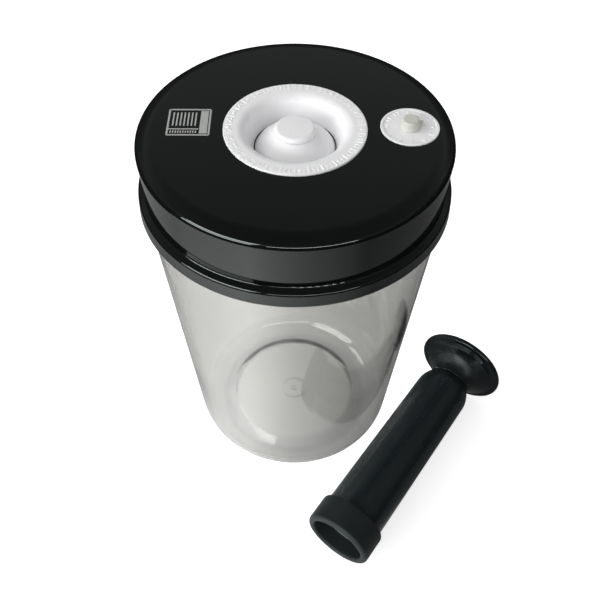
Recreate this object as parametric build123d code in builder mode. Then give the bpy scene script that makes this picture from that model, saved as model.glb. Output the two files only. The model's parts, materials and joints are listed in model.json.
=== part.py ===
from build123d import *
import math
import os

os.makedirs("parts", exist_ok=True)

# A clear tapered canister with a black lid. The lid holds a day dial, a small month dial and, in
# the middle of the day dial, the valve that the hand pump draws the air out through.
# The pump lies on the table beside the canister. Lengths are in millimetres, +Z is up and the
# origin is on the table, at the middle of the canister's base.

# Fits and overruns shared by the pieces
cut_over = 1.0
running_fit = 0.06
seated_fit = 0.02
lid_fit = 0.3
dial_fit = 0.3
face_gap = 0.1

# Canister
jar_height = 174.0
jar_foot_r = 55.1
jar_rim_r = 69.6
jar_wall = 2.9
jar_floor = 3.0
jar_corner = 14.4
jar_rim_round = 0.8
push_up = 5.2
stand_ring_width = 16.1
push_up_lean = 5.0
push_up_round = 2.5
stand_round = 3.6
gate_r = 1.6
gate_height = 0.9
gate_ring_r = 6.9
gate_ring_width = 0.8
gate_ring_height = 0.5

# Lid cover
lid_height = 31.3
lid_overhang = 0.5
lid_edge_width = 5.4
lid_edge_drop = 2.6
lid_edge_round = 10.0
lid_corner_round = 2.6
wall_lean = 1.6
wall_foot_rise = 4.5
wall_foot_round = 0.9
ledge_reach = 3.3
ledge_drop = 1.4
ledge_round = 1.3
skirt_wall = 2.25
skirt_drop = 4.0
skirt_round = 0.45
cover_wall = 2.4
cover_top = 2.5
cover_inner_round = 3.0
well_depth = 2.2
well_floor = 2.4
well_wall = 2.7
index_r = 0.7
index_depth = 0.3
index_gap = 2.8

# Lid base: plate, plug and valve chimney
plate_thickness = 2.4
plug_depth = 10.0
plug_wall = 3.6
plug_gap = 1.7
plug_round = 0.8
groove_height = 3.3
groove_depth = 1.6
groove_below_rim = 3.1
chimney_r = 12.5
chimney_wall = 2.0
seat_drop = 5.2
seat_thickness = 2.0
seat_hole_r = 4.5
flange_r = 17.8
valve_depth = 12.3
flange_thickness = 1.4

# Lid gasket
lip_thickness = 0.6
lip_root = 1.0
lip_clearance = 0.25

# Valve
dome_base_r = 18.0
dome_height = 9.2
dome_wall = 1.5
dome_shoulder_r = 16.4
dome_shoulder_drop = 5.6
dome_shoulder_round = 5.0
dome_crown_r = 9.2
dome_crown_round = 1.5
dome_base_thickness = 0.8
dome_foot_width = 3.0
dome_inner_round = 3.0
dome_seal_width = 2.8
dome_seal_thickness = 1.0
dome_vent_r = 0.9
dome_vent_reach = 5.6
dome_vents = 6
knob_r = 9.15
knob_height = 2.6
knob_crown = 0.25
knob_round = 1.5
knob_under_round = 0.4
knob_gap = 0.2
stem_r = 2.9
stem_pin_r = 2.0
stem_pin_length = 1.7
stop_r = 5.0
stop_thickness = 1.2
valve_travel = 4.0
holder_r = 4.2
holder_thickness = 1.2
stem_neck_r = 2.0
stem_head_r = 2.9
stem_head_length = 1.3
valve_disc_r = 8.0
valve_disc_thickness = 1.4
valve_disc_edge = 0.6

# Day dial
dial_r = 31.5
dial_proud = 0.7
dial_edge_round = 0.5
bowl_mouth_r = 22.4
bowl_foot_r = 18.4
bowl_depth = 10.0
bowl_mouth_round = 5.0
bowl_foot_width = 1.7
neck_r = 25.4
neck_length = 5.0
clip_groove_depth = 1.2
clip_groove_height = 1.2
clip_drop = 0.3
retainer_r = 28.4
retainer_thickness = 1.0
retainer_mouth = 12.0

# Month dial
month_share = 0.3368
month_shift = 0.95
month_y = 1.0
month_thickness = 1.4
month_pocket = 1.3
month_rim_width = 1.1
month_rim_height = 0.4
month_rim_round = 0.3
month_boss_r = 6.0
month_boss_height = 1.6
pointer_shaft_r = 2.45
pointer_foot_r = 4.4
pointer_top_r = 3.7
pointer_height = 4.3
pointer_round = 0.9
pointer_nose_reach = 6.6
pointer_nose_width = 3.4
pointer_nose_height = 1.3
pointer_nose_deg = 24.0
pointer_end_round = 0.4
pointer_tail = 0.7
pointer_groove_depth = 0.5
pointer_clip_r = 4.8
pointer_clip_thickness = 0.9
pointer_clip_drop = 0.4

# Pump: places along its axis are measured from the collar's mouth
pump_mouth_x = 22.6
pump_mouth_y = -105.6
pump_heading_deg = 54.0
collar_r = 18.3
collar_length = 16.0
collar_lip_round = 2.0
collar_back_round = 1.5
collar_bore_r = 14.7
collar_bore_depth = 9.4
collar_bore_round = 1.2
collar_socket_r = 15.4
foot_plate_thickness = 2.6
foot_plate_recess_r = 3.2
foot_plate_recess_depth = 1.4
inlet_holes = 6
inlet_hole_r = 1.1
inlet_hole_reach = 5.2
inlet_flap_r = 7.4
inlet_flap_thickness = 1.0
inlet_flap_edge = 0.5
inlet_stem_r = 1.4
inlet_bulb_r = 2.2
inlet_bulb_length = 0.9
barrel_foot_r = 16.15
barrel_top_r = 15.2
barrel_bore_r = 13.4
barrel_end = 118.0
barrel_end_r = 12.0
barrel_end_round = 0.4
barrel_shoulder_length = 5.0
barrel_shoulder_round = 16.0
barrel_step_round = 0.3
neck_bore_r = 10.7
neck_bore_length = 4.5
guide_flange_thickness = 3.0
guide_recess = 0.4
guide_round = 0.3
guide_vents = 4
guide_vent_r = 1.2
guide_vent_reach = 8.2
rod_r = 4.0
rod_thread_r = 2.6
rod_depth_in_handle = 10.2
piston_rest_gap = 2.0
piston_length = 10.0
piston_r = 12.9
piston_round = 0.5
piston_vents = 6
piston_vent_r = 0.9
piston_vent_reach = 7.6
seal_height = 3.6
seal_depth = 2.3
seal_from_foot = 2.7
seal_heel_drop = 0.35
seal_notch = 1.8
seal_lip = 0.7
flap_r = 9.6
flap_thickness = 0.9
flap_edge = 0.5
flap_flat_r = 4.6
nut_flats = 8.0
nut_height = 2.9
nut_recess_r = 5.4
nut_recess_depth = 3.4
nut_sunk = 0.4
handle_gap = 0.8
handle_foot_r = 11.8
handle_foot_round = 0.4
handle_neck_r = 11.5
handle_neck_length = 6.2
handle_neck_round = 9.4
handle_wall = 1.4
handle_cavity_depth = 6.4
handle_boss_r = 6.6
handle_disc_r = 25.0
handle_disc_rise = 5.2
handle_bead_rise = 1.3
handle_bead_width = 3.6
handle_bead_lean = 0.6
handle_bead_round = 0.7
handle_rim_thickness = 3.0
handle_rim_round = 1.3
handle_crown = 0.9


def outline(*corners):
    """a closed outline; each corner has its place across, its place up and its rounding"""
    places = [(across, up) for across, up, rounding in corners]
    FilletPolyline(*places, radius=[rounding for across, up, rounding in corners], close=True)


def jar_outer_r(z):
    """radius of the canister's tapered outer wall at a height"""
    return jar_foot_r + (jar_rim_r - jar_foot_r) * z / jar_height


def jar_inner_r(z):
    """radius of the canister's inner wall at a height"""
    return jar_outer_r(z) - jar_wall


# Canister: one clear moulding with a pushed-up base, a standing ring and a gate mark
push_up_top = push_up + jar_floor
push_up_foot_r = jar_foot_r - stand_ring_width
push_up_r = push_up_foot_r - push_up_lean
gate_ring_in_r = gate_ring_r - gate_ring_width / 2
gate_ring_out_r = gate_ring_r + gate_ring_width / 2

with BuildPart() as canister_body:
    with BuildSketch(Plane.XZ) as jar_section:
        with BuildLine() as jar_outline:
            outline(
                (0, push_up - gate_height, 0),
                (gate_r, push_up - gate_height, 0),
                (gate_r, push_up, 0),
                (gate_ring_in_r, push_up, 0),
                (gate_ring_in_r, push_up - gate_ring_height, 0),
                (gate_ring_out_r, push_up - gate_ring_height, 0),
                (gate_ring_out_r, push_up, 0),
                (push_up_r, push_up, push_up_round),
                (push_up_foot_r, 0, stand_round),
                (jar_foot_r, 0, jar_corner),
                (jar_rim_r, jar_height, jar_rim_round),
                (jar_rim_r - jar_wall, jar_height, jar_rim_round),
                (jar_inner_r(jar_floor), jar_floor, jar_corner - jar_wall),
                (push_up_foot_r + jar_floor / 2, jar_floor, stand_round - jar_floor),
                (push_up_r + jar_floor / 2, push_up_top, push_up_round + jar_floor),
                (0, push_up_top, 0),
            )
        make_face()
    revolve(axis=Axis.Z)
canister_body.part.label = "canister_body"
export_step(canister_body.part, "parts/canister_body.step")

# Lid base: a plate that sits on the canister's rim, a plug that fills its mouth and a chimney
# that carries the valve seat
lid_top = jar_height + lid_height
plate_top = jar_height + plate_thickness
flange_top = lid_top - valve_depth
seat_z = flange_top - seat_drop
plate_r = jar_rim_r
plug_r = jar_inner_r(jar_height) - plug_gap
plug_in_r = plug_r - plug_wall
plug_foot = jar_height - plug_depth
groove_top = jar_height - groove_below_rim
groove_foot = groove_top - groove_height
groove_r = plug_r - groove_depth
chimney_in_r = chimney_r - chimney_wall

with BuildPart() as lid_base:
    with BuildSketch(Plane.XZ) as base_section:
        with BuildLine() as base_outline:
            outline(
                (seat_hole_r, seat_z - seat_thickness, 0),
                (chimney_in_r, seat_z - seat_thickness, 0),
                (chimney_in_r, jar_height, 0),
                (plug_in_r, jar_height, plug_round),
                (plug_in_r, plug_foot, plug_round),
                (plug_r, plug_foot, plug_round),
                (plug_r, groove_foot, 0),
                (groove_r, groove_foot, 0),
                (groove_r, groove_top, 0),
                (plug_r, groove_top, 0),
                (plug_r, jar_height, 0),
                (plate_r, jar_height, 0),
                (plate_r, plate_top, 0),
                (chimney_r, plate_top, plug_round),
                (chimney_r, flange_top - flange_thickness, plug_round),
                (flange_r, flange_top - flange_thickness, 0),
                (flange_r, flange_top, 0),
                (chimney_in_r, flange_top, 0),
                (chimney_in_r, seat_z, 0),
                (seat_hole_r, seat_z, 0),
            )
        make_face()
    revolve(axis=Axis.Z)
lid_base.part.label = "lid_base"
export_step(lid_base.part, "parts/lid_base.step")

# Lid gasket: a silicone ring in the plug's groove, with two lips that meet the canister's wall
gasket_foot = groove_foot + face_gap
gasket_top = groove_top - face_gap
lip_r = jar_inner_r(groove_foot) - lip_clearance

with BuildPart() as lid_gasket:
    with BuildSketch(Plane.XZ) as gasket_section:
        with BuildLine() as gasket_outline:
            outline(
                (groove_r + seated_fit, gasket_foot, 0),
                (plug_r, gasket_foot, 0),
                (lip_r, gasket_foot, 0),
                (lip_r, gasket_foot + lip_thickness, 0),
                (plug_r, gasket_foot + lip_root, 0),
                (plug_r, gasket_top - lip_root, 0),
                (lip_r, gasket_top - lip_thickness, 0),
                (lip_r, gasket_top, 0),
                (groove_r + seated_fit, gasket_top, 0),
            )
        make_face()
    revolve(axis=Axis.Z)
lid_gasket.part.label = "lid_gasket"
export_step(lid_gasket.part, "parts/lid_gasket.step")

# Lid cover: a black shell with a sloped and rounded edge, a wall that leans in towards its foot,
# a sloping ledge and a skirt that closes over the canister's rim
skirt_in_r = jar_rim_r + lid_fit
skirt_foot_z = jar_height - skirt_drop
wall_foot_z = jar_height + wall_foot_rise
ledge_under = plate_top
cover_under = lid_top - cover_top
lid_r = jar_rim_r + lid_overhang
wall_foot_r = lid_r - wall_lean
ledge_r = wall_foot_r + ledge_reach
skirt_foot_r = skirt_in_r + skirt_wall
well_r = dial_r + dial_fit
well_z = lid_top - well_depth
well_under = well_z - well_floor
well_boss_r = well_r + well_wall
neck_hole_r = neck_r + dial_fit
month_r = month_share * (lid_r - well_r)
month_x = (well_r + lid_r) / 2 - month_shift
month_pocket_r = month_r + dial_fit
month_floor = lid_top - month_pocket
pointer_hole_r = pointer_shaft_r + running_fit

with BuildPart() as lid_cover:
    with BuildSketch(Plane.XZ) as cover_section:
        with BuildLine() as cover_outline:
            outline(
                (neck_hole_r, well_z, 0),
                (well_r, well_z, 0),
                (well_r, lid_top, 0),
                (lid_r - lid_edge_width, lid_top, lid_edge_round),
                (lid_r, lid_top - lid_edge_drop, lid_corner_round),
                (wall_foot_r, wall_foot_z, wall_foot_round),
                (ledge_r, wall_foot_z - ledge_drop, ledge_round),
                (skirt_foot_r, skirt_foot_z, skirt_round),
                (skirt_in_r, skirt_foot_z, skirt_round),
                (skirt_in_r, ledge_under, 0),
                (wall_foot_r - cover_wall, ledge_under, 0),
                (lid_r - cover_wall, cover_under, cover_inner_round),
                (well_boss_r, cover_under, 0),
                (well_boss_r, well_under, 0),
                (neck_hole_r, well_under, 0),
            )
        make_face()
    revolve(axis=Axis.Z)
    with BuildSketch(Plane.XY.offset(cover_under)) as month_boss:
        with Locations((month_x, month_y)):
            Circle(month_boss_r)
    extrude(amount=-month_boss_height)
    with BuildSketch(Plane.XY.offset(month_floor)) as month_pocket_area:
        with Locations((month_x, month_y)):
            Circle(month_pocket_r)
    extrude(amount=month_pocket + cut_over, mode=Mode.SUBTRACT)
    with BuildSketch(Plane.XY.offset(lid_top)) as pointer_hole:
        with Locations((month_x, month_y)):
            Circle(pointer_hole_r)
    extrude(amount=-(cover_top + month_boss_height + cut_over), mode=Mode.SUBTRACT)
    with BuildSketch(Plane.XY.offset(lid_top)) as index_mark:
        with Locations((0, well_r + index_gap)):
            Circle(index_r)
    extrude(amount=-index_depth, mode=Mode.SUBTRACT)
lid_cover.part.label = "lid_cover"
export_step(lid_cover.part, "parts/lid_cover.step")

# Dome seal: a flat silicone washer between the chimney's flange and the valve dome
dome_foot = flange_top + dome_seal_thickness

with BuildPart() as dome_seal:
    with BuildSketch(Plane.XY.offset(flange_top)) as dome_seal_face:
        Circle(flange_r - face_gap)
        Circle(flange_r - face_gap - dome_seal_width, mode=Mode.SUBTRACT)
    extrude(amount=dome_seal_thickness)
dome_seal.part.label = "dome_seal"
export_step(dome_seal.part, "parts/dome_seal.step")

# Valve dome: a white bell whose slope the pump's collar is pressed on, vented under the knob
dome_top = dome_foot + dome_height
dome_in_r = dome_base_r - dome_foot_width
dome_shoulder = dome_top - dome_shoulder_drop
stem_hole_r = stem_r + running_fit

with BuildPart() as valve_dome:
    with BuildSketch(Plane.XZ) as dome_section:
        with BuildLine() as dome_outline:
            outline(
                (stem_hole_r, dome_top - dome_wall, 0),
                (dome_crown_r - dome_wall / 2, dome_top - dome_wall, 0),
                (dome_in_r, dome_shoulder - dome_wall / 2, dome_inner_round),
                (dome_in_r, dome_foot, 0),
                (dome_base_r, dome_foot, 0),
                (dome_base_r, dome_foot + dome_base_thickness, 0),
                (dome_shoulder_r, dome_shoulder, dome_shoulder_round),
                (dome_crown_r, dome_top, dome_crown_round),
                (stem_hole_r, dome_top, 0),
            )
        make_face()
    revolve(axis=Axis.Z)
    with BuildSketch(Plane.XY.offset(dome_top)) as dome_vent_area:
        with PolarLocations(dome_vent_reach, dome_vents):
            Circle(dome_vent_r)
    extrude(amount=-(dome_wall + cut_over), mode=Mode.SUBTRACT)
valve_dome.part.label = "valve_dome"
export_step(valve_dome.part, "parts/valve_dome.step")

# Valve knob: the white cap that is pulled up to let the air back in
knob_foot = dome_top + knob_gap
knob_top = knob_foot + knob_height

with BuildPart() as valve_knob:
    with BuildSketch(Plane.XZ) as knob_section:
        with BuildLine() as knob_outline:
            outline(
                (0, knob_foot + stem_pin_length + face_gap, 0),
                (stem_pin_r + seated_fit, knob_foot + stem_pin_length + face_gap, 0),
                (stem_pin_r + seated_fit, knob_foot, 0),
                (knob_r, knob_foot, knob_under_round),
                (knob_r, knob_top - knob_crown, knob_round),
                (0, knob_top, 0),
            )
        make_face()
    revolve(axis=Axis.Z)
valve_knob.part.label = "valve_knob"
export_step(valve_knob.part, "parts/valve_knob.step")

# Valve stem: pressed into the knob, with a stop under the dome and a holder for the silicone disc
stop_top = dome_top - dome_wall - valve_travel - face_gap
holder_foot = seat_z + valve_disc_thickness
holder_top = holder_foot + holder_thickness
stem_head_top = seat_z - face_gap
stem_end = stem_head_top - stem_head_length

with BuildPart() as valve_stem:
    with BuildSketch(Plane.XZ) as stem_section:
        with BuildLine() as stem_outline:
            outline(
                (0, stem_end, 0),
                (stem_head_r, stem_end, 0),
                (stem_head_r, stem_head_top, 0),
                (stem_neck_r, stem_head_top, 0),
                (stem_neck_r, holder_foot, 0),
                (holder_r, holder_foot, 0),
                (holder_r, holder_top, 0),
                (stem_r, holder_top, 0),
                (stem_r, stop_top - stop_thickness, 0),
                (stop_r, stop_top - stop_thickness, 0),
                (stop_r, stop_top, 0),
                (stem_r, stop_top, 0),
                (stem_r, knob_foot, 0),
                (stem_pin_r, knob_foot, 0),
                (stem_pin_r, knob_foot + stem_pin_length, 0),
                (0, knob_foot + stem_pin_length, 0),
            )
        make_face()
    revolve(axis=Axis.Z)
valve_stem.part.label = "valve_stem"
export_step(valve_stem.part, "parts/valve_stem.step")

# Valve disc: the soft disc that lies on the seat and holds the vacuum
with BuildPart() as valve_disc:
    with BuildSketch(Plane.XZ) as disc_section:
        with BuildLine() as disc_outline:
            outline(
                (stem_neck_r + seated_fit, seat_z, 0),
                (valve_disc_r, seat_z, 0),
                (valve_disc_r, seat_z + valve_disc_edge, 0),
                (holder_r, holder_foot, 0),
                (stem_neck_r + seated_fit, holder_foot, 0),
            )
        make_face()
    revolve(axis=Axis.Z)
valve_disc.part.label = "valve_disc"
export_step(valve_disc.part, "parts/valve_disc.step")

# Day dial: a white flange for the day marks and, inside it, the bowl around the valve
dial_foot = well_z + face_gap
dial_top = lid_top + dial_proud
clip_groove_top = well_under - clip_drop
clip_groove_foot = clip_groove_top - clip_groove_height
clip_groove_r = neck_r - clip_groove_depth
neck_foot = dial_foot - neck_length
bowl_foot_z = lid_top - bowl_depth
bowl_shoulder_r = bowl_foot_r + bowl_foot_width

with BuildPart() as day_dial:
    with BuildSketch(Plane.XZ) as dial_section:
        with BuildLine() as dial_outline:
            outline(
                (bowl_foot_r, bowl_foot_z, 0),
                (bowl_shoulder_r, bowl_foot_z, 0),
                (neck_r, neck_foot, 0),
                (neck_r, clip_groove_foot, 0),
                (clip_groove_r, clip_groove_foot, 0),
                (clip_groove_r, clip_groove_top, 0),
                (neck_r, clip_groove_top, 0),
                (neck_r, dial_foot, 0),
                (dial_r, dial_foot, 0),
                (dial_r, dial_top, dial_edge_round),
                (bowl_mouth_r, dial_top, bowl_mouth_round),
            )
        make_face()
    revolve(axis=Axis.Z)
day_dial.part.label = "day_dial"
export_step(day_dial.part, "parts/day_dial.step")

# Dial retainer: a spring clip in the neck's groove that keeps the dial in the lid
retainer_foot = clip_groove_foot + face_gap

with BuildPart() as dial_retainer:
    with BuildSketch(Plane.XY.offset(retainer_foot)) as retainer_face:
        Circle(retainer_r)
        Circle(clip_groove_r + seated_fit, mode=Mode.SUBTRACT)
        with Locations((0, -retainer_r)):
            Rectangle(retainer_mouth, retainer_r, mode=Mode.SUBTRACT)
    extrude(amount=retainer_thickness)
dial_retainer.part.label = "dial_retainer"
export_step(dial_retainer.part, "parts/dial_retainer.step")

# Month scale: a small white disc with a raised rim, fixed in its pocket
month_axis = Axis((month_x, month_y, 0), (0, 0, 1))
month_section_plane = Plane(origin=(month_x, month_y, 0), x_dir=(1, 0, 0), z_dir=(0, -1, 0))
scale_top = month_floor + month_thickness
scale_in_r = month_r - month_rim_width

with BuildPart() as month_scale:
    with BuildSketch(month_section_plane) as scale_section:
        with BuildLine() as scale_outline:
            outline(
                (pointer_hole_r, month_floor, 0),
                (month_r, month_floor, 0),
                (month_r, scale_top + month_rim_height, month_rim_round),
                (scale_in_r, scale_top + month_rim_height, 0),
                (scale_in_r, scale_top, 0),
                (pointer_hole_r, scale_top, 0),
            )
        make_face()
    revolve(axis=month_axis)
month_scale.part.label = "month_scale"
export_step(month_scale.part, "parts/month_scale.step")

# Month pointer: a cream knob with a small nose that points at the month
pointer_foot = scale_top + face_gap
pointer_top = pointer_foot + pointer_height
boss_under = cover_under - month_boss_height
pointer_groove_top = boss_under - pointer_clip_drop
pointer_groove_foot = pointer_groove_top - pointer_clip_thickness - 2 * face_gap
pointer_groove_r = pointer_shaft_r - pointer_groove_depth
pointer_end = pointer_groove_foot - pointer_tail
pointer_nose_turn = Rot(0, 0, pointer_nose_deg)

with BuildPart() as month_pointer:
    with BuildSketch(month_section_plane) as pointer_section:
        with BuildLine() as pointer_outline:
            outline(
                (0, pointer_end, 0),
                (pointer_shaft_r, pointer_end, pointer_end_round),
                (pointer_shaft_r, pointer_groove_foot, 0),
                (pointer_groove_r, pointer_groove_foot, 0),
                (pointer_groove_r, pointer_groove_top, 0),
                (pointer_shaft_r, pointer_groove_top, 0),
                (pointer_shaft_r, pointer_foot, 0),
                (pointer_foot_r, pointer_foot, 0),
                (pointer_top_r, pointer_top, pointer_round),
                (0, pointer_top, 0),
            )
        make_face()
    revolve(axis=month_axis)
    with BuildSketch(Plane(origin=(month_x, month_y, pointer_foot)) * pointer_nose_turn) as nose_face:
        with BuildLine() as nose_outline:
            Polyline(
                (0, -pointer_nose_width / 2),
                (pointer_foot_r, -pointer_nose_width / 2),
                (pointer_nose_reach, 0),
                (pointer_foot_r, pointer_nose_width / 2),
                (0, pointer_nose_width / 2),
                close=True,
            )
        make_face()
    extrude(amount=pointer_nose_height)
month_pointer.part.label = "month_pointer"
export_step(month_pointer.part, "parts/month_pointer.step")

# Pointer clip: a washer clipped into the pointer's shaft under the cover
with BuildPart() as pointer_clip:
    with BuildSketch(Plane.XY.offset(pointer_groove_foot + face_gap)) as pointer_clip_face:
        with Locations((month_x, month_y)):
            Circle(pointer_clip_r)
            Circle(pointer_groove_r + seated_fit, mode=Mode.SUBTRACT)
    extrude(amount=pointer_clip_thickness)
pointer_clip.part.label = "pointer_clip"
export_step(pointer_clip.part, "parts/pointer_clip.step")

# How the pump lies: it rests on the rounded lip of its collar and on the rim of its handle
plate_foot_t = collar_bore_depth
barrel_foot = plate_foot_t + foot_plate_thickness
handle_foot = barrel_end + handle_gap
handle_neck_end = handle_foot + handle_neck_length
rim_foot = handle_neck_end + handle_disc_rise + handle_bead_rise
rim_top = rim_foot + handle_rim_thickness
lip_centre_r = collar_r - collar_lip_round
rim_centre_r = handle_disc_r - handle_rim_round
rest_span = rim_foot + handle_rim_round - collar_lip_round
rest_rise = rim_centre_r - lip_centre_r
rest_swing = math.asin((handle_rim_round - collar_lip_round) / math.hypot(rest_span, rest_rise))
pump_tilt = math.atan2(rest_rise, rest_span) + rest_swing
lip_lift = lip_centre_r * math.cos(pump_tilt) - collar_lip_round * math.sin(pump_tilt)
pump_mouth_z = lip_lift + collar_lip_round
pump_heading = math.radians(pump_heading_deg)
along_x = math.cos(pump_tilt) * math.cos(pump_heading)
along_y = math.cos(pump_tilt) * math.sin(pump_heading)
along_z = math.sin(pump_tilt)
pump_mouth = Vector(pump_mouth_x, pump_mouth_y, pump_mouth_z)
along_pump = Vector(along_x, along_y, along_z)
across_pump = Vector(-math.sin(pump_heading), math.cos(pump_heading), 0)
pump_axis = Axis(pump_mouth, along_pump)
pump_section_plane = Plane(origin=pump_mouth, x_dir=across_pump, z_dir=across_pump.cross(along_pump))


def pump_station(t):
    """the plane across the pump at a place along its axis"""
    return Plane(origin=pump_mouth + along_pump * t, x_dir=across_pump, z_dir=along_pump)


# Pump collar: the soft rubber mouth that is pressed onto the lid's valve dome
with BuildPart() as pump_collar:
    with BuildSketch(pump_section_plane) as collar_section:
        with BuildLine() as collar_outline:
            outline(
                (collar_bore_r, 0, collar_bore_round),
                (collar_r, 0, collar_lip_round),
                (collar_r, collar_length, collar_back_round),
                (collar_socket_r, collar_length, 0),
                (collar_socket_r, collar_bore_depth, 0),
                (collar_bore_r, collar_bore_depth, 0),
            )
        make_face()
    revolve(axis=pump_axis)
pump_collar.part.label = "pump_collar"
export_step(pump_collar.part, "parts/pump_collar.step")

# Pump foot plate: closes the barrel's foot, with inlet holes around the inlet valve's stem
spigot_r = collar_socket_r - seated_fit
inlet_stem_hole_r = inlet_stem_r + face_gap

with BuildPart() as pump_foot_plate:
    with BuildSketch(pump_station(plate_foot_t)) as plate_face:
        Circle(spigot_r)
        Circle(inlet_stem_hole_r, mode=Mode.SUBTRACT)
        with PolarLocations(inlet_hole_reach, inlet_holes):
            Circle(inlet_hole_r, mode=Mode.SUBTRACT)
    extrude(amount=foot_plate_thickness)
    with BuildSketch(pump_station(plate_foot_t)) as plate_recess:
        Circle(foot_plate_recess_r)
    extrude(amount=foot_plate_recess_depth, mode=Mode.SUBTRACT)
pump_foot_plate.part.label = "pump_foot_plate"
export_step(pump_foot_plate.part, "parts/pump_foot_plate.step")

# Inlet valve: a silicone mushroom whose flap covers the inlet holes from inside
bulb_top = plate_foot_t + foot_plate_recess_depth - face_gap

with BuildPart() as inlet_valve:
    with BuildSketch(pump_section_plane) as inlet_section:
        with BuildLine() as inlet_outline:
            outline(
                (0, bulb_top - inlet_bulb_length, 0),
                (inlet_bulb_r, bulb_top - inlet_bulb_length, 0),
                (inlet_bulb_r, bulb_top, 0),
                (inlet_stem_r, bulb_top, 0),
                (inlet_stem_r, barrel_foot, 0),
                (inlet_flap_r, barrel_foot, 0),
                (inlet_flap_r, barrel_foot + inlet_flap_edge, 0),
                (inlet_bulb_r, barrel_foot + inlet_flap_thickness, 0),
                (0, barrel_foot + inlet_flap_thickness, 0),
            )
        make_face()
    revolve(axis=pump_axis)
inlet_valve.part.label = "inlet_valve"
export_step(inlet_valve.part, "parts/inlet_valve.step")

# Pump barrel: a long tapered tube whose shoulder closes in around the rod guide
shoulder_t = barrel_end - barrel_shoulder_length
neck_bore_foot = barrel_end - neck_bore_length

with BuildPart() as pump_barrel:
    with BuildSketch(pump_section_plane) as barrel_section:
        with BuildLine() as barrel_outline:
            outline(
                (barrel_bore_r, barrel_foot, 0),
                (spigot_r, barrel_foot, 0),
                (spigot_r, collar_length, 0),
                (barrel_foot_r, collar_length, barrel_step_round),
                (barrel_top_r, shoulder_t, barrel_shoulder_round),
                (barrel_end_r, barrel_end, barrel_end_round),
                (neck_bore_r, barrel_end, 0),
                (neck_bore_r, neck_bore_foot, 0),
                (barrel_bore_r, neck_bore_foot, 0),
            )
        make_face()
    revolve(axis=pump_axis)
pump_barrel.part.label = "pump_barrel"
export_step(pump_barrel.part, "parts/pump_barrel.step")

# Rod guide: a bush that closes the barrel's top, guides the rod and lets the used air out
guide_foot = neck_bore_foot - face_gap - guide_flange_thickness
guide_top = barrel_end - guide_recess

with BuildPart() as rod_guide:
    with BuildSketch(pump_section_plane) as guide_section:
        with BuildLine() as guide_outline:
            outline(
                (rod_r + running_fit, guide_foot, 0),
                (barrel_bore_r - face_gap, guide_foot, guide_round),
                (barrel_bore_r - face_gap, neck_bore_foot - face_gap, 0),
                (neck_bore_r - face_gap, neck_bore_foot - face_gap, 0),
                (neck_bore_r - face_gap, guide_top, guide_round),
                (rod_r + running_fit, guide_top, guide_round),
            )
        make_face()
    revolve(axis=pump_axis)
    with BuildSketch(pump_station(guide_foot - cut_over)) as guide_vent_area:
        with PolarLocations(guide_vent_reach, guide_vents):
            Circle(guide_vent_r)
    extrude(amount=guide_top - guide_foot + 2 * cut_over, mode=Mode.SUBTRACT)
rod_guide.part.label = "rod_guide"
export_step(rod_guide.part, "parts/rod_guide.step")

# Piston: carries the cup seal, with vents that its flap closes on the pull
piston_foot = barrel_foot + inlet_flap_thickness + piston_rest_gap
piston_top = piston_foot + piston_length
seal_foot = piston_foot + seal_from_foot
seal_groove_r = piston_r - seal_depth
nut_floor = piston_foot + nut_recess_depth

with BuildPart() as pump_piston:
    with BuildSketch(pump_section_plane) as piston_section:
        with BuildLine() as piston_outline:
            outline(
                (nut_recess_r, piston_foot, 0),
                (piston_r, piston_foot, piston_round),
                (piston_r, seal_foot, 0),
                (seal_groove_r, seal_foot, 0),
                (seal_groove_r, seal_foot + seal_height + 2 * face_gap, 0),
                (piston_r, seal_foot + seal_height + 2 * face_gap, 0),
                (piston_r, piston_top, piston_round),
                (rod_thread_r + seated_fit, piston_top, 0),
                (rod_thread_r + seated_fit, nut_floor, 0),
                (nut_recess_r, nut_floor, 0),
            )
        make_face()
    revolve(axis=pump_axis)
    with BuildSketch(pump_station(piston_foot - cut_over)) as piston_vent_area:
        with PolarLocations(piston_vent_reach, piston_vents):
            Circle(piston_vent_r)
    extrude(amount=piston_length + 2 * cut_over, mode=Mode.SUBTRACT)
pump_piston.part.label = "pump_piston"
export_step(pump_piston.part, "parts/pump_piston.step")

# Piston seal: a rubber cup ring, notched on the side that draws
seal_out_r = barrel_bore_r - running_fit
seal_in_r = seal_groove_r + seated_fit
cup_foot = seal_foot + face_gap
cup_top = cup_foot + seal_height
notch_r = (seal_in_r + seal_out_r) / 2

with BuildPart() as piston_seal:
    with BuildSketch(pump_section_plane) as seal_section:
        with BuildLine() as seal_outline:
            outline(
                (seal_in_r, cup_foot, 0),
                (seal_in_r + seal_lip, cup_foot, 0),
                (notch_r, cup_foot + seal_notch, 0),
                (seal_out_r - seal_lip, cup_foot, 0),
                (seal_out_r, cup_foot, 0),
                (seal_out_r, cup_foot + seal_lip, 0),
                (seal_out_r - seal_heel_drop, cup_top, 0),
                (seal_in_r, cup_top, 0),
            )
        make_face()
    revolve(axis=pump_axis)
piston_seal.part.label = "piston_seal"
export_step(piston_seal.part, "parts/piston_seal.step")

# Piston valve: a silicone flap on top of the piston, clamped by the rod's shoulder
flap_top = piston_top + flap_thickness

with BuildPart() as piston_valve:
    with BuildSketch(pump_section_plane) as flap_section:
        with BuildLine() as flap_outline:
            outline(
                (rod_thread_r + seated_fit, piston_top, 0),
                (flap_r, piston_top, 0),
                (flap_r, piston_top + flap_edge, 0),
                (flap_flat_r, flap_top, 0),
                (rod_thread_r + seated_fit, flap_top, 0),
            )
        make_face()
    revolve(axis=pump_axis)
piston_valve.part.label = "piston_valve"
export_step(piston_valve.part, "parts/piston_valve.step")

# Pump rod: a steel rod from the piston's nut to the handle
rod_foot = piston_foot + nut_sunk
rod_top = handle_foot + rod_depth_in_handle

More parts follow.
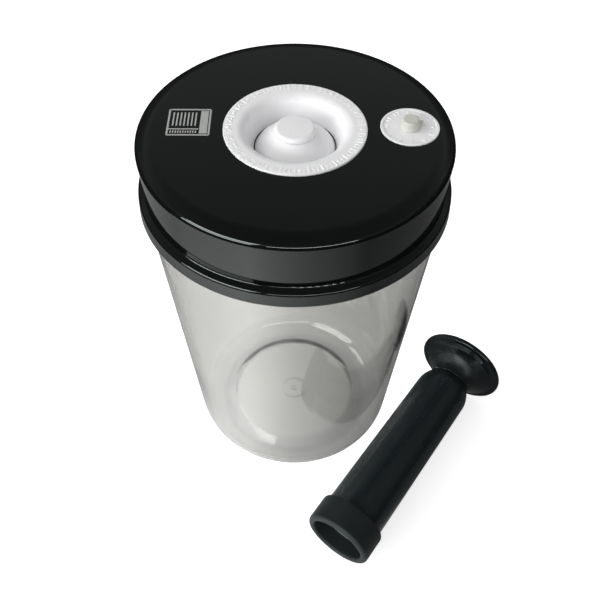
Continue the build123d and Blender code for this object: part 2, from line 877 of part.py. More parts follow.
with BuildPart() as pump_rod:
    with BuildSketch(pump_section_plane) as rod_section:
        with BuildLine() as rod_outline:
            outline(
                (0, rod_foot, 0),
                (rod_thread_r, rod_foot, 0),
                (rod_thread_r, flap_top, 0),
                (rod_r, flap_top, 0),
                (rod_r, rod_top, 0),
                (0, rod_top, 0),
            )
        make_face()
    revolve(axis=pump_axis)
pump_rod.part.label = "pump_rod"
export_step(pump_rod.part, "parts/pump_rod.step")

# Piston nut: a hexagonal nut in the piston's recess
with BuildPart() as piston_nut:
    with BuildSketch(pump_station(nut_floor)) as nut_face:
        RegularPolygon(nut_flats / 2, side_count=6, major_radius=False)
        Circle(rod_thread_r + seated_fit, mode=Mode.SUBTRACT)
    extrude(amount=-nut_height)
piston_nut.part.label = "piston_nut"
export_step(piston_nut.part, "parts/piston_nut.step")

# Pump handle: a bell over the rod that flares into a broad disc with a beaded rim
cavity_top = handle_foot + handle_cavity_depth
cavity_foot_r = handle_foot_r - handle_wall
cavity_top_r = handle_neck_r - handle_wall
bead_r = handle_disc_r - handle_bead_width
cone_foot = handle_neck_end
cone_top = handle_neck_end + handle_disc_rise

with BuildPart() as pump_handle:
    with BuildSketch(pump_section_plane) as handle_section:
        with BuildLine() as handle_outline:
            outline(
                (rod_r + seated_fit, handle_foot, 0),
                (handle_boss_r, handle_foot, 0),
                (handle_boss_r, cavity_top, 0),
                (cavity_top_r, cavity_top, 0),
                (cavity_foot_r, handle_foot, 0),
                (handle_foot_r, handle_foot, handle_foot_round),
                (handle_neck_r, cone_foot, handle_neck_round),
                (bead_r - handle_bead_lean, cone_top, handle_bead_round),
                (bead_r, rim_foot, handle_bead_round),
                (handle_disc_r, rim_foot, handle_rim_round),
                (handle_disc_r, rim_top, handle_rim_round),
                (0, rim_top + handle_crown, 0),
                (0, rod_top + face_gap, 0),
                (rod_r + seated_fit, rod_top + face_gap, 0),
            )
        make_face()
    revolve(axis=pump_axis)
pump_handle.part.label = "pump_handle"
export_step(pump_handle.part, "parts/pump_handle.step")

print("pump tilt in degrees", round(math.degrees(pump_tilt), 3))
print("pump mouth", [round(value, 3) for value in pump_mouth])
print("pump direction", [round(value, 6) for value in along_pump])
print("piston travel", round(guide_foot - flap_top, 2), "valve travel", valve_travel)
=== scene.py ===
import bpy
import bmesh
import json
import math
from mathutils import Matrix, Vector


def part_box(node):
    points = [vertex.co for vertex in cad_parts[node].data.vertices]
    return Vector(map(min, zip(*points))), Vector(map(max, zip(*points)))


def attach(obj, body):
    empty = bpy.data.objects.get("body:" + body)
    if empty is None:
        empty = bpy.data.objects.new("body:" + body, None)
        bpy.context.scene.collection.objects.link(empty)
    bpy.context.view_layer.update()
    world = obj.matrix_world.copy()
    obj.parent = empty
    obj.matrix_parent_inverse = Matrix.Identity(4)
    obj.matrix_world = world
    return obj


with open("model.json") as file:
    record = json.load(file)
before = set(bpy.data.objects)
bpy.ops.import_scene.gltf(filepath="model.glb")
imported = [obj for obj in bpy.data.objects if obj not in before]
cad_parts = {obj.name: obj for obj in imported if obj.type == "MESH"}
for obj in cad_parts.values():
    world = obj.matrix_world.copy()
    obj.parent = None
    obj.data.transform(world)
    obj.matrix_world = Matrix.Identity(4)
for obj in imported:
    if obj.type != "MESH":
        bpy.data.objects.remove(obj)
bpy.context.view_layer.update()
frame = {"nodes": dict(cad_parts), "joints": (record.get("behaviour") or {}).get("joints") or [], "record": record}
nodes = frame["nodes"]
joints = {joint["name"]: joint for joint in frame["joints"]}
mounts = {mount["name"]: mount for mount in frame["record"]["mounts"]}
scene = bpy.context.scene
scene.view_settings.view_transform = "Standard"

# Camera: it stands in front of the canister and looks down on the lid at about 49 degrees.
# The photograph's middle lies a little right of and below the point that the lens looks at.
photo_px = 600
lens_px = 804.4
lens_centre_px = (292.9, 279.458)
film_width = 36.0
eye = Vector((0.0, -0.279980, 0.424963))
look_down = math.radians(48.787)
look_left = math.radians(0.1592)
look_roll = math.radians(0.1833)

camera_data = bpy.data.cameras.new("camera")
camera = bpy.data.objects.new("camera", camera_data)
scene.collection.objects.link(camera)
forward = Vector((
    -math.sin(look_left) * math.cos(look_down),
    math.cos(look_left) * math.cos(look_down),
    -math.sin(look_down),
))
level_right = forward.cross(Vector((0, 0, 1))).normalized()
level_up = level_right.cross(forward)
right = level_right * math.cos(look_roll) + level_up * math.sin(look_roll)
up = level_up * math.cos(look_roll) - level_right * math.sin(look_roll)
camera.matrix_world = Matrix.Translation(eye) @ Matrix((right, up, -forward)).transposed().to_4x4()
camera_data.sensor_width = film_width
camera_data.lens = lens_px * film_width / photo_px
camera_data.shift_x = (photo_px / 2 - lens_centre_px[0]) / photo_px
camera_data.shift_y = (lens_centre_px[1] - photo_px / 2) / photo_px
scene.camera = camera

# Lamps: a long low window at the left in front, a strip above it and a thin one in front, which
# draw the bright lines on the lid's edges, and a soft lamp at the left that shades the dial's bowl
# and leaves no gleam.
lid_middle = (0, 0, 0.2)
jar_middle = (0, 0, 0.1)


def soft_lamp(name, place, aim, width, height, watts):
    """a rectangular lamp at a place, turned to its aim"""
    lamp_data = bpy.data.lights.new(name, "AREA")
    lamp_data.shape = "RECTANGLE"
    lamp_data.size = width
    lamp_data.size_y = height
    lamp_data.energy = watts
    lamp = bpy.data.objects.new(name, lamp_data)
    scene.collection.objects.link(lamp)
    lamp.location = place
    lamp.rotation_euler = (Vector(aim) - Vector(place)).to_track_quat("-Z", "Y").to_euler()
    return lamp


soft_lamp("lamp_window", (-1.10, -0.92, 0.64), lid_middle, width=1.3, height=0.42, watts=14.0)
lamp_strip = soft_lamp("lamp_strip", (-0.93, -0.78, 1.08), lid_middle, width=1.2, height=0.30, watts=13.0)
lamp_strip.visible_diffuse = False
lamp_front = soft_lamp("lamp_front", (0.28, -1.34, 0.84), lid_middle, width=1.5, height=0.10, watts=8.5)
lamp_front.visible_diffuse = False
lamp_left = soft_lamp("lamp_left", (-1.15, 0.15, 1.05), jar_middle, width=0.5, height=0.5, watts=5.6)
lamp_left.visible_glossy = False

# Room: pale walls that light everything evenly. The eye sees them white. Glossy faces see a dim
# room with a paler band, so that black pieces stay dark, and clear plastic shows it white at the
# horizon and dark above. Each list has its greys from the horizon up to overhead.
lit_greys = [(0.1, 0.595), (0.9, 0.49)]
mirrored_greys = [(0.05, 0.03), (0.35, 0.08), (0.53, 0.25), (0.73, 0.14), (0.94, 0.08)]
through_greys = [(0.12, 1.0), (0.45, 0.14)]


def ramp(tree, value, stops):
    """greys along a value; each stop has its place and its grey"""
    shades = tree.nodes.new("ShaderNodeValToRGB")
    for place, grey in stops[2:]:
        shades.color_ramp.elements.new(place)
    for element, (place, grey) in zip(shades.color_ramp.elements, stops):
        element.position = place
        element.color = (grey, grey, grey, 1)
    tree.links.new(value, shades.inputs["Fac"])
    return shades.outputs["Color"]


def mixed(tree, share, first, second):
    """a shader between two shaders"""
    mix = tree.nodes.new("ShaderNodeMixShader")
    tree.links.new(share, mix.inputs["Fac"])
    tree.links.new(first, mix.inputs[1])
    tree.links.new(second, mix.inputs[2])
    return mix.outputs["Shader"]


world = bpy.data.worlds.new("room")
scene.world = world
world.use_nodes = True
room = world.node_tree
room.nodes.clear()
room_ray = room.nodes.new("ShaderNodeLightPath")
room_place = room.nodes.new("ShaderNodeTexCoord")
room_sides = room.nodes.new("ShaderNodeSeparateXYZ")
room.links.new(room_place.outputs["Generated"], room_sides.inputs["Vector"])
room_walls = []
for greys in (lit_greys, mirrored_greys, through_greys):
    room_wall = room.nodes.new("ShaderNodeBackground")
    room.links.new(ramp(room, room_sides.outputs["Z"], greys), room_wall.inputs["Color"])
    room_walls.append(room_wall.outputs["Background"])
room_lit, room_mirrored, room_through = room_walls
room_white = room.nodes.new("ShaderNodeBackground")
room_white.inputs["Color"].default_value = (1, 1, 1, 1)
room_shader = mixed(room, room_ray.outputs["Is Glossy Ray"], room_lit, room_mirrored)
room_shader = mixed(room, room_ray.outputs["Is Transmission Ray"], room_shader, room_through)
room_shader = mixed(room, room_ray.outputs["Is Camera Ray"], room_shader, room_white.outputs["Background"])
room_out = room.nodes.new("ShaderNodeOutputWorld")
room.links.new(room_shader, room_out.inputs["Surface"])

# Floor: a plain white sheet. It keeps the shadows, and what the lamps leave short of white is made
# up where the eye sees it. Through clear plastic it shows nearly as the lamps light it, with a painted
# shade that greys it towards the right, away from the window. What a glossy face sees of it is a
# painted reflection, a glow that runs from bright at the front left, under the window, to dim at the
# right, is brightest a quarter of a metre out and ends at a third. Its heading greys go once round,
# from the left by the front, the right and the back.
floor_size = 4.0
floor_drop = 0.0003
floor_colour = (0.80, 0.80, 0.80)
floor_glow = 0.63
through_glow_share = 0.11
through_width = 0.08
# painted shade: the floor seen through clear plastic greys towards the right
floor_through_painted_shade_greys = [(0.10, 0.79), (0.30, 0.73), (0.50, 0.47), (0.72, 0.37), (0.95, 0.43)]
# painted reflection: the greys that glossy faces see of the floor, once round by heading
painted_reflection_heading_greys = [
    (0.0, 0.30), (0.165, 1.0), (0.28, 0.46), (0.385, 0.11), (0.62, 0.07), (0.88, 0.16), (1.0, 0.30),
]
mirrored_rise_r = (0.215, 0.26)
mirrored_rise = (0.85, 1.22)
mirrored_end_r = (0.28, 0.34)
mirrored_end = (1.7, 0.05)


def between(tree, value, ends, to_ends):
    """a value carried from one pair of ends to another pair and held there"""
    carry = tree.nodes.new("ShaderNodeMapRange")
    carry.inputs["From Min"].default_value = ends[0]
    carry.inputs["From Max"].default_value = ends[1]
    carry.inputs["To Min"].default_value = to_ends[0]
    carry.inputs["To Max"].default_value = to_ends[1]
    tree.links.new(value, carry.inputs["Value"])
    return carry.outputs["Result"]


def worked(tree, operation, first, second, clamped=False):
    """the number that a sum gives, from two numbers or sockets"""
    step = tree.nodes.new("ShaderNodeMath")
    step.operation = operation
    step.use_clamp = clamped
    for end, value in ((step.inputs[0], first), (step.inputs[1], second)):
        if isinstance(value, float):
            end.default_value = value
        else:
            tree.links.new(value, end)
    return step.outputs["Value"]


def vector_worked(tree, operation, first, second=None):
    """the vector or the number that a sum on vectors gives"""
    step = tree.nodes.new("ShaderNodeVectorMath")
    step.operation = operation
    tree.links.new(first, step.inputs[0])
    if second is not None:
        step.inputs[1].default_value = second
    return step.outputs["Value" if operation in ("LENGTH", "DOT_PRODUCT") else "Vector"]


def blend_colours(tree, share, first, second):
    """a colour between two colours or sockets"""
    blend = tree.nodes.new("ShaderNodeMix")
    blend.data_type = "RGBA"
    tree.links.new(share, blend.inputs["Factor"])
    for end, colour in ((blend.inputs[6], first), (blend.inputs[7], second)):
        if isinstance(colour, tuple):
            end.default_value = colour + (1.0,)
        else:
            tree.links.new(colour, end)
    return blend.outputs[2]


half = floor_size / 2
floor_mesh = bpy.data.meshes.new("floor")
floor_mesh.from_pydata(
    [(x, y, -floor_drop) for x, y in ((-half, -half), (half, -half), (half, half), (-half, half))],
    [], [(0, 1, 2, 3)],
)
floor = bpy.data.objects.new("floor", floor_mesh)
scene.collection.objects.link(floor)
floor_finish = bpy.data.materials.new("floor_sheet")
floor_finish.use_nodes = True
sheet = floor_finish.node_tree
sheet.nodes.clear()
sheet_ray = sheet.nodes.new("ShaderNodeLightPath").outputs
sheet_place = sheet.nodes.new("ShaderNodeTexCoord").outputs["Object"]
sheet_sides = sheet.nodes.new("ShaderNodeSeparateXYZ")
sheet.links.new(sheet_place, sheet_sides.inputs["Vector"])
across = between(sheet, sheet_sides.outputs["X"], (-through_width, through_width), (0, 1))
sheet_lit = sheet.nodes.new("ShaderNodeBsdfDiffuse")
# painted shade: transmission rays see the floor greyed towards the right
through_painted_shade_colour = ramp(sheet, across, floor_through_painted_shade_greys)
sheet_colour = blend_colours(sheet, sheet_ray["Is Transmission Ray"], floor_colour, through_painted_shade_colour)
sheet.links.new(sheet_colour, sheet_lit.inputs["Color"])
through_glow = worked(sheet, "MULTIPLY", sheet_ray["Is Transmission Ray"], through_glow_share)
seen_glow = worked(sheet, "MAXIMUM", sheet_ray["Is Camera Ray"], through_glow)
sheet_glow = sheet.nodes.new("ShaderNodeEmission")
sheet.links.new(worked(sheet, "MULTIPLY", seen_glow, floor_glow), sheet_glow.inputs["Strength"])
sheet_seen = sheet.nodes.new("ShaderNodeAddShader")
sheet.links.new(sheet_lit.outputs["BSDF"], sheet_seen.inputs[0])
sheet.links.new(sheet_glow.outputs["Emission"], sheet_seen.inputs[1])
heading = worked(sheet, "ARCTAN2", sheet_sides.outputs["Y"], sheet_sides.outputs["X"])
turn = between(sheet, heading, (-math.pi, math.pi), (0, 1))
away = vector_worked(sheet, "LENGTH", sheet_place)
mirrored_strength = worked(
    sheet, "MULTIPLY",
    between(sheet, away, mirrored_end_r, mirrored_end),
    between(sheet, away, mirrored_rise_r, mirrored_rise),
)
# painted reflection: a glow that glossy faces see on the floor, set by heading and distance
sheet_mirrored = sheet.nodes.new("ShaderNodeEmission")
sheet.links.new(mirrored_strength, sheet_mirrored.inputs["Strength"])
sheet.links.new(ramp(sheet, turn, painted_reflection_heading_greys), sheet_mirrored.inputs["Color"])
is_mirrored = worked(
    sheet, "SUBTRACT", sheet_ray["Is Glossy Ray"], sheet_ray["Is Transmission Ray"], clamped=True,
)
sheet_shader = mixed(sheet, is_mirrored, sheet_seen.outputs["Shader"], sheet_mirrored.outputs["Emission"])
sheet_out = sheet.nodes.new("ShaderNodeOutputMaterial")
sheet.links.new(sheet_shader, sheet_out.inputs["Surface"])
floor_mesh.materials.append(floor_finish)

# Canister: one moulding of clear, faintly grey plastic, polished inside and out.
# Its wall has the slight waves of the mould and the fine rub marks of use, and the ring that it
# stands on is painted a soft grey, a painted shade where it meets the table.
clear_tones = ((0.890, 0.890, 0.872), (0.918, 0.918, 0.902))
clear_gloss = (0.015, 0.075)
cloud_ends = (0.3, 0.7)
rub_ends = (0.45, 0.75)
wave_bump = (0.0006, 0.35)
rub_bump = (0.00002, 0.3)
clear_depth_colour = (0.53, 0.53, 0.49, 1)
clear_depth_density = 30.0
clear_bend = 1.49
stand_ring_shade_grey = (0.74, 0.74, 0.745)
ring_shade_top_z = (0.0110, 0.0085)
ring_shade_inner_r = (0.0340, 0.0362)
ring_shade_outer_r = (0.0450, 0.0425)
ring_shade_outside = 0.35


def new_finish(name):
    """a finish, its shader, its nodes and the place on the piece in metres"""
    finish = bpy.data.materials.new(name)
    finish.use_nodes = True
    tree = finish.node_tree
    places = tree.nodes.new("ShaderNodeTexCoord")
    return finish, tree.nodes["Principled BSDF"], tree, places.outputs["Object"]


def noise(tree, place, per_metre, detail=2, stretch=None):
    """a noise over the piece, drawn out along a side where stretch says less than 1"""
    source = place
    if stretch:
        squeeze = tree.nodes.new("ShaderNodeMapping")
        squeeze.inputs["Scale"].default_value = stretch
        tree.links.new(place, squeeze.inputs["Vector"])
        source = squeeze.outputs["Vector"]
    speckle = tree.nodes.new("ShaderNodeTexNoise")
    speckle.inputs["Scale"].default_value = per_metre
    speckle.inputs["Detail"].default_value = detail
    tree.links.new(source, speckle.inputs["Vector"])
    return speckle.outputs["Fac"]


def dress(skin, tree, colour, roughness, bumps=()):
    """gives a shader its colour, its roughness and its bumps; each bump has its height, its distance
    in metres and its strength"""
    tree.links.new(colour, skin.inputs["Base Color"])
    tree.links.new(roughness, skin.inputs["Roughness"])
    normal = None
    for height, distance, strength in bumps:
        bump = tree.nodes.new("ShaderNodeBump")
        bump.inputs["Distance"].default_value = distance
        bump.inputs["Strength"].default_value = strength
        tree.links.new(height, bump.inputs["Height"])
        if normal:
            tree.links.new(normal, bump.inputs["Normal"])
        normal = bump.outputs["Normal"]
    if normal:
        tree.links.new(normal, skin.inputs["Normal"])


def wear(name, finish):
    """gives a piece of the model its finish"""
    mesh = nodes[name].data
    mesh.materials.clear()
    mesh.materials.append(finish)


clear_plastic, skin, tree, place = new_finish("clear_plastic")
skin.inputs["Transmission Weight"].default_value = 1.0
skin.inputs["IOR"].default_value = clear_bend
cloud = noise(tree, place, per_metre=22)
rubs = noise(tree, place, per_metre=900, detail=3, stretch=(1, 1, 0.05))
waves = noise(tree, place, per_metre=26, detail=1, stretch=(1, 1, 0.45))
clear_tone = blend_colours(tree, between(tree, cloud, cloud_ends, (0, 1)), *clear_tones)
heights = tree.nodes.new("ShaderNodeSeparateXYZ")
tree.links.new(place, heights.inputs["Vector"])
from_axis = vector_worked(tree, "LENGTH", vector_worked(tree, "MULTIPLY", place, (1, 1, 0)))
# painted shade: the stand ring is greyed where it meets the table
ring_shade = worked(
    tree, "MULTIPLY",
    between(tree, heights.outputs["Z"], ring_shade_top_z, (0, 1)),
    between(tree, from_axis, ring_shade_inner_r, (0, 1)),
)
ring_shade = worked(tree, "MULTIPLY", ring_shade, between(tree, from_axis, ring_shade_outer_r, (ring_shade_outside, 1)))
dress(skin, tree, blend_colours(tree, ring_shade, clear_tone, stand_ring_shade_grey),
      between(tree, rubs, rub_ends, clear_gloss), [(waves, *wave_bump), (rubs, *rub_bump)])
thickness = tree.nodes.new("ShaderNodeVolumeAbsorption")
thickness.inputs["Color"].default_value = clear_depth_colour
thickness.inputs["Density"].default_value = clear_depth_density
tree.links.new(thickness.outputs["Volume"], tree.nodes["Material Output"].inputs["Volume"])
wear("canister_body", clear_plastic)
nodes["canister_body"].visible_shadow = False

# Lid base: plate, plug and valve chimney in one dark grey moulding, welded under the cover.
# It has the fine grain of its mould and no polish.
base_tones = ((0.030, 0.031, 0.031), (0.048, 0.049, 0.049))
base_roughness = (0.38, 0.55)
base_bump = (0.00003, 0.5)
grain_ends = (0.3, 0.7)
grey_plastic, skin, tree, place = new_finish("grey_plastic")
grain = noise(tree, place, per_metre=3200)
cloud = noise(tree, place, per_metre=60)
dress(skin, tree, blend_colours(tree, cloud, *base_tones),
      between(tree, grain, grain_ends, base_roughness), [(grain, *base_bump)])
wear("lid_base", grey_plastic)

# Soft rings and flaps of the lid and the pump: cast in milky silicone, with a dusty bloom.
# They are stretched or pressed into their seats.
silicone_tones = ((0.60, 0.61, 0.59), (0.72, 0.72, 0.70))
silicone_roughness = (0.45, 0.65)
silicone_bump = (0.00002, 0.4)
silicone_bloom = 0.15
silicone, skin, tree, place = new_finish("silicone")
grain = noise(tree, place, per_metre=4000)
cloud = noise(tree, place, per_metre=120, detail=3)
dress(skin, tree, blend_colours(tree, cloud, *silicone_tones),
      between(tree, grain, grain_ends, silicone_roughness), [(grain, *silicone_bump)])
skin.inputs["Sheen Weight"].default_value = silicone_bloom
for soft_piece in ("lid_gasket", "dome_seal", "valve_disc", "inlet_valve", "piston_valve"):
    wear(soft_piece, silicone)

# Lid cover: a polished black moulding. Its surface has a faint orange peel, hairline scratches
# from wiping, and specks of dust that catch the light.
cover_tones = ((0.0026, 0.0030, 0.0030), (0.0038, 0.0043, 0.0042))
cover_gloss = (0.05, 0.13)
peel_bump = (0.00002, 0.25)
wipe_ends = (0.45, 0.8)
wipe_bump = (0.000004, 0.3)
speck_ends = (0.775, 0.82)
cover_bend = 1.5
cover_tint = (0.90, 1.0, 0.97, 1)
dust_grey = (0.05, 0.05, 0.05)
cover_black, skin, tree, place = new_finish("cover_black")
peel = noise(tree, place, per_metre=420)
wipe = noise(tree, place, per_metre=1500, detail=3, stretch=(1, 0.06, 0.2))
cloud = noise(tree, place, per_metre=35, detail=3)
specks = noise(tree, place, per_metre=2600, detail=1)
dusty = between(tree, specks, speck_ends, (0, 1))
cover_tone = blend_colours(tree, cloud, *cover_tones)
dress(skin, tree, blend_colours(tree, dusty, cover_tone, dust_grey),
      between(tree, wipe, wipe_ends, cover_gloss), [(peel, *peel_bump), (wipe, *wipe_bump)])
skin.inputs["IOR"].default_value = cover_bend
skin.inputs["Specular Tint"].default_value = cover_tint
wear("lid_cover", cover_black)

# Printed frame: a plain silver outline on the lid at the left, with a band and rows of bars, hot
# stamped into the gloss.
frame_middle = (-0.0465, 0.0037)
frame_width = 0.0181
frame_height = 0.0177
frame_line = 0.0008
frame_lift = 0.00006
band_width = 0.0034
band_gap = 0.00096
rule_line = 0.00064
rule_y = -0.27 * frame_height
long_bars = 7
long_bar_size = (0.00064, 0.52 * frame_height)
long_bar_y = 0.12 * frame_height
short_bars = 11
short_bar_size = (0.00056, 0.09 * frame_height)
short_bar_y = -0.38 * frame_height
silver_tones = ((0.52, 0.53, 0.51), (0.68, 0.69, 0.67))
silver_roughness = (0.35, 0.6)
silver_bump = (0.00001, 0.3)
silver_metal = 0.4
lid_top_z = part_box("lid_cover")[1].z


def raised_bar(mesh, seat, middle, size, foot, rise):
    """a thin bar that stands on a face, open under its foot; seat turns it into place"""
    rings = []
    for level in (foot, foot + rise):
        corners = [
            Vector((middle[0] + side_x * size[0] / 2, middle[1] + side_y * size[1] / 2, level))
            for side_x, side_y in ((-1, -1), (1, -1), (1, 1), (-1, 1))
        ]
        rings.append([mesh.verts.new(seat @ corner) for corner in corners])
    low, high = rings
    mesh.faces.new(high)
    for k in range(4):
        mesh.faces.new((low[k], low[(k + 1) % 4], high[(k + 1) % 4], high[k]))


def marked_piece(name, mesh, finish):
    """a piece of the given mesh and finish"""
    data = bpy.data.meshes.new(name)
    mesh.to_mesh(data)
    mesh.free()
    data.materials.append(finish)
    piece = bpy.data.objects.new(name, data)
    scene.collection.objects.link(piece)
    return piece


stamp_silver, skin, tree, place = new_finish("stamp_silver")
grain = noise(tree, place, per_metre=2500, detail=3)
dress(skin, tree, blend_colours(tree, grain, *silver_tones),
      between(tree, grain, grain_ends, silver_roughness), [(grain, *silver_bump)])
skin.inputs["Metallic"].default_value = silver_metal
field_width = frame_width - band_width - 2 * frame_line
field_x = -(band_width + frame_line) / 2
band_x = (frame_width - band_width) / 2 - frame_line
frame_bars = [
    (0, frame_height / 2, frame_width, frame_line),
    (0, -frame_height / 2, frame_width, frame_line),
    (-frame_width / 2, 0, frame_line, frame_height),
    (frame_width / 2, 0, frame_line, frame_height),
    (band_x, 0, band_width, frame_height - 2 * band_gap),
    (field_x, rule_y, field_width, rule_line),
]
bar_rows = ((long_bars, long_bar_y, long_bar_size), (short_bars, short_bar_y, short_bar_size))
for count, bar_y, bar_size in bar_rows:
    for bar in range(count):
        bar_x = field_x + field_width * ((bar + 1) / (count + 1) - 1 / 2)
        frame_bars.append((bar_x, bar_y, *bar_size))
frame_seat = Matrix.Translation((frame_middle[0], frame_middle[1], 0))
frame_mesh = bmesh.new()
for bar_x, bar_y, bar_width, bar_height in frame_bars:
    raised_bar(frame_mesh, frame_seat, (bar_x, bar_y), (bar_width, bar_height), lid_top_z, frame_lift)
printed_frame = marked_piece("printed_frame", frame_mesh, stamp_silver)
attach(printed_frame, "lid")

# White pieces of the lid: day dial, valve dome, knob and stem, and the month scale, moulded in a
# dense satin white plastic that is a little cooler in its shadows and slightly scuffed.
white_tones = ((0.865, 0.865, 0.875), (0.915, 0.915, 0.925))
white_scuffed = (0.62, 0.62, 0.61)
white_roughness = (0.26, 0.40)
white_bump = (0.00001, 0.35)
scuff_ends = (0.66, 0.8)
scuff_most = 0.5
white_plastic, skin, tree, place = new_finish("white_plastic")
grain = noise(tree, place, per_metre=2800)
cloud = noise(tree, place, per_metre=90, detail=3)
scuffs = noise(tree, place, per_metre=700, detail=4, stretch=(1, 0.3, 1))
scuffed = between(tree, scuffs, scuff_ends, (0, scuff_most))
white_tone = blend_colours(tree, cloud, *white_tones)
dress(skin, tree, blend_colours(tree, scuffed, white_tone, white_scuffed),
      between(tree, grain, grain_ends, white_roughness), [(grain, *white_bump)])
for white_piece in ("day_dial", "valve_dome", "valve_knob", "valve_stem", "month_scale"):
    wear(white_piece, white_plastic)

# Day marks: plain numbers from 1 to 31 with a line between each two, raised in the white ring and
# painted a little brighter than it, a painted highlight on their raised faces.
dial_top_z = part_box("day_dial")[1].z
days = 31
mark_rise = 0.00019
day_number_r = 0.0290
number_height = 0.0026
number_scale = 1.38
number_steps = 3
line_r = 0.0291
line_length = 0.0034
line_width = 0.00052
mark_highlight_tones = ((0.93, 0.93, 0.93), (0.97, 0.97, 0.97))
mark_roughness = (0.28, 0.42)


def number_mesh(text):
    """a raised number as a mesh, upright and centred on the origin"""
    letters = bpy.data.curves.new("letters", "FONT")
    letters.body = text
    letters.size = number_height * number_scale
    letters.align_x = "CENTER"
    letters.align_y = "CENTER"
    letters.resolution_u = number_steps
    letters.extrude = mark_rise / 2
    holder = bpy.data.objects.new("letters", letters)
    scene.collection.objects.link(holder)
    bpy.context.view_layer.update()
    drawn = bpy.data.meshes.new_from_object(holder.evaluated_get(bpy.context.evaluated_depsgraph_get()))
    bpy.data.objects.remove(holder)
    bpy.data.curves.remove(letters)
    return drawn


def ring_marks(name, middle, face_z, count, number_r, with_lines):
    """a piece with raised numbers round a middle, and if asked a radial line between each two"""
    marks = bmesh.new()
    to_middle = Matrix.Translation((middle[0], middle[1], 0))
    for number in range(count):
        turn = -2 * math.pi * number / count
        drawn = number_mesh(str(number + 1))
        out_to_ring = Matrix.Translation((0, number_r, face_z + mark_rise / 2))
        drawn.transform(to_middle @ Matrix.Rotation(turn, 4, "Z") @ out_to_ring)
        marks.from_mesh(drawn)
        bpy.data.meshes.remove(drawn)
        if with_lines:
            half_turn = to_middle @ Matrix.Rotation(turn - math.pi / count, 4, "Z")
            raised_bar(marks, half_turn, (0, line_r), (line_width, line_length), face_z, mark_rise)
    return marked_piece(name, marks, mark_white)


# painted highlight: the raised marks are made brighter than the white they stand on
mark_white, skin, tree, place = new_finish("mark_white")
grain = noise(tree, place, per_metre=3200)
dress(skin, tree, blend_colours(tree, grain, *mark_highlight_tones), between(tree, grain, grain_ends, mark_roughness))
day_marks = ring_marks("day_marks", (0, 0), dial_top_z, days, day_number_r, with_lines=True)
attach(day_marks, "dial")

# Month marks: plain numbers from 1 to 12 round the month scale, inside its rim, raised and painted
# bright like the days, with the same painted highlight.
month_middle = joints["month_turn"]["pos_m"]
month_rim_rise = 0.0004
month_face_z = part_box("month_scale")[1].z - month_rim_rise
months = 12
month_number_r = 0.0103
month_marks = ring_marks("month_marks", month_middle, month_face_z, months, month_number_r, with_lines=False)
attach(month_marks, "lid")

# Month pointer: a small cream knob, turned by the finger on the month scale, slightly yellowed and
# handled.
cream_tones = ((0.57, 0.585, 0.515), (0.65, 0.665, 0.59))
cream_roughness = (0.30, 0.45)
cream_bump = (0.00001, 0.4)
cream_plastic, skin, tree, place = new_finish("cream_plastic")
grain = noise(tree, place, per_metre=3500)
cloud = noise(tree, place, per_metre=260, detail=3)
dress(skin, tree, blend_colours(tree, cloud, *cream_tones),
      between(tree, grain, grain_ends, cream_roughness), [(grain, *cream_bump)])
wear("month_pointer", cream_plastic)

# Steel pieces: the dial's and the pointer's clips, stamped from spring steel and snapped in under
# the lid, and the pump's turned rod and its nut. They are brushed and hardly show.
steel_tones = ((0.36, 0.37, 0.38), (0.52, 0.52, 0.53))
steel_roughness = (0.25, 0.45)
spring_steel, skin, tree, place = new_finish("spring_steel")
grain = noise(tree, place, per_metre=1800, detail=3, stretch=(1, 0.1, 1))
dress(skin, tree, blend_colours(tree, grain, *steel_tones), between(tree, grain, grain_ends, steel_roughness))
skin.inputs["Metallic"].default_value = 1.0
for steel_piece in ("dial_retainer", "pointer_clip", "pump_rod", "piston_nut"):
    wear(steel_piece, spring_steel)

# Pump barrel, with the rod guide and the piston in it: a black drawn tube with a fine satin grain,
# drawing streaks along its length and grey rub marks where hands hold it.
pump_heading = Vector(joints["pump_stroke"]["axis"])
barrel_tones = ((0.0056, 0.0080, 0.0092), (0.0088, 0.0118, 0.0130))
barrel_rubbed = (0.018, 0.021, 0.022)
barrel_roughness = (0.22, 0.40)
satin_bump = (0.00002, 0.4)
streak_ends = (0.35, 0.65)
streak_bump = (0.0003, 0.35)
hand_rub_ends = (0.6, 0.8)
hand_rub_most = 0.5
barrel_shine = 0.40
pump_tint = (0.86, 0.97, 1.0, 1)
barrel_black, skin, tree, place = new_finish("barrel_black")
along_barrel = tree.nodes.new("ShaderNodeMapping")
along_barrel.inputs["Rotation"].default_value = (0, 0, -math.atan2(pump_heading.y, pump_heading.x))
tree.links.new(place, along_barrel.inputs["Vector"])
grain = noise(tree, place, per_metre=3600)
rubs = noise(tree, along_barrel.outputs["Vector"], per_metre=500, detail=3, stretch=(0.12, 1, 1))
streaks = noise(tree, along_barrel.outputs["Vector"], per_metre=190, detail=1, stretch=(0.03, 1, 1))
cloud = noise(tree, place, per_metre=70, detail=3)
rubbed = between(tree, rubs, hand_rub_ends, (0, hand_rub_most))
barrel_tone = blend_colours(tree, cloud, *barrel_tones)
dress(skin, tree, blend_colours(tree, rubbed, barrel_tone, barrel_rubbed),
      between(tree, streaks, streak_ends, barrel_roughness),
      [(streaks, *streak_bump), (grain, *satin_bump), (rubs, *rub_bump)])
skin.inputs["Specular IOR Level"].default_value = barrel_shine
skin.inputs["Specular Tint"].default_value = pump_tint
for satin_piece in ("pump_barrel", "rod_guide", "pump_piston"):
    wear(satin_piece, barrel_black)

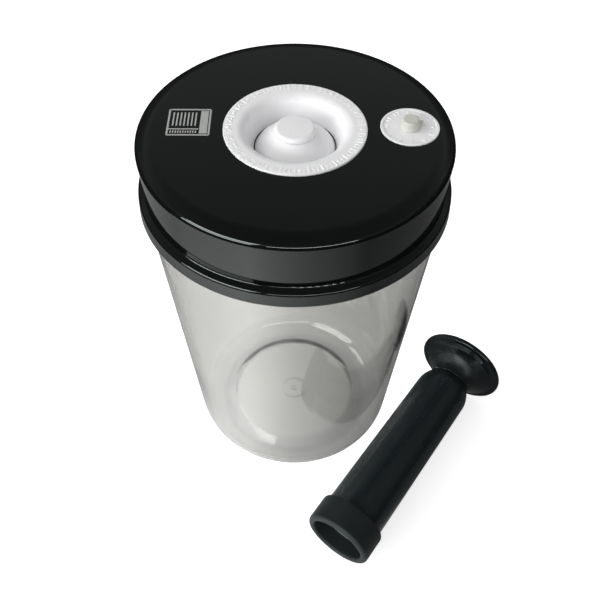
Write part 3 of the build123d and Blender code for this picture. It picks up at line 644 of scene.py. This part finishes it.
# Pump collar and piston seal: soft black rubber. The collar is pressed over the barrel's foot, and
# its lip is painted a paler grey, a painted highlight where the lip catches the light.
bore_middle_depth = 0.0053
mouth = Vector(mounts["pump_mouth"]["pos_m"]) - bore_middle_depth * pump_heading
rubber_tones = ((0.0018, 0.0032, 0.0040), (0.0052, 0.0074, 0.0084))
rubber_lip_highlight = (0.026, 0.030, 0.031)
lip_highlight_end = (0.0022, 0.0004)
rubber_roughness = (0.5, 0.7)
rubber_bump = (0.00004, 0.5)
rubber_bloom = 0.02
rubber_bloom_roughness = 0.4
rubber_shine = 0.35


def along_pump(tree, place):
    """how far a place is from the pump's mouth, along the pump"""
    return vector_worked(tree, "DOT_PRODUCT", vector_worked(tree, "SUBTRACT", place, mouth), pump_heading)


soft_rubber, skin, tree, place = new_finish("soft_rubber")
grain = noise(tree, place, per_metre=3000, detail=3)
cloud = noise(tree, place, per_metre=140, detail=4)
# painted highlight: the collar is paler towards its lip at the mouth
lip_painted_highlight = between(tree, along_pump(tree, place), lip_highlight_end, (0, 1))
rubber_tone = blend_colours(tree, cloud, *rubber_tones)
dress(skin, tree, blend_colours(tree, lip_painted_highlight, rubber_tone, rubber_lip_highlight),
      between(tree, grain, grain_ends, rubber_roughness), [(grain, *rubber_bump)])
skin.inputs["Sheen Weight"].default_value = rubber_bloom
skin.inputs["Sheen Roughness"].default_value = rubber_bloom_roughness
skin.inputs["Specular IOR Level"].default_value = rubber_shine
skin.inputs["Specular Tint"].default_value = pump_tint
for rubber_piece in ("pump_collar", "piston_seal"):
    wear(rubber_piece, soft_rubber)

# Pump foot plate: a moulded disc in a paler grey with a cloudy tone, clamped deep in the collar.
plate_tones = ((0.14, 0.16, 0.165), (0.19, 0.215, 0.22))
plate_roughness = (0.4, 0.6)
plate_bump = (0.00003, 0.4)
plate_grey, skin, tree, place = new_finish("plate_grey")
grain = noise(tree, place, per_metre=3000)
cloud = noise(tree, place, per_metre=180, detail=3)
dress(skin, tree, blend_colours(tree, cloud, *plate_tones),
      between(tree, grain, grain_ends, plate_roughness), [(grain, *plate_bump)])
wear("pump_foot_plate", plate_grey)

# Pump handle: a polished black bell and disc, pressed onto the rod, with fine scratches on its face.
# The neck, where fingers pull, is rubbed to a satin.
handle_tones = ((0.0030, 0.0040, 0.0046), (0.0052, 0.0064, 0.0070))
handle_gloss = (0.05, 0.14)
scratch_ends = (0.45, 0.8)
scratch_bump = (0.000006, 0.3)
handle_shine = 0.36
neck_end = (0.1295, 0.1265)
neck_satin = 0.36
handle_black, skin, tree, place = new_finish("handle_black")
scratch = noise(tree, place, per_metre=1300, detail=4, stretch=(1, 0.12, 0.4))
handle_roughness = worked(
    tree, "ADD",
    between(tree, scratch, scratch_ends, handle_gloss),
    between(tree, along_pump(tree, place), neck_end, (0, neck_satin)),
)
cloud = noise(tree, place, per_metre=90, detail=3)
dress(skin, tree, blend_colours(tree, cloud, *handle_tones), handle_roughness, [(scratch, *scratch_bump)])
skin.inputs["Specular IOR Level"].default_value = handle_shine
skin.inputs["Specular Tint"].default_value = pump_tint
wear("pump_handle", handle_black)
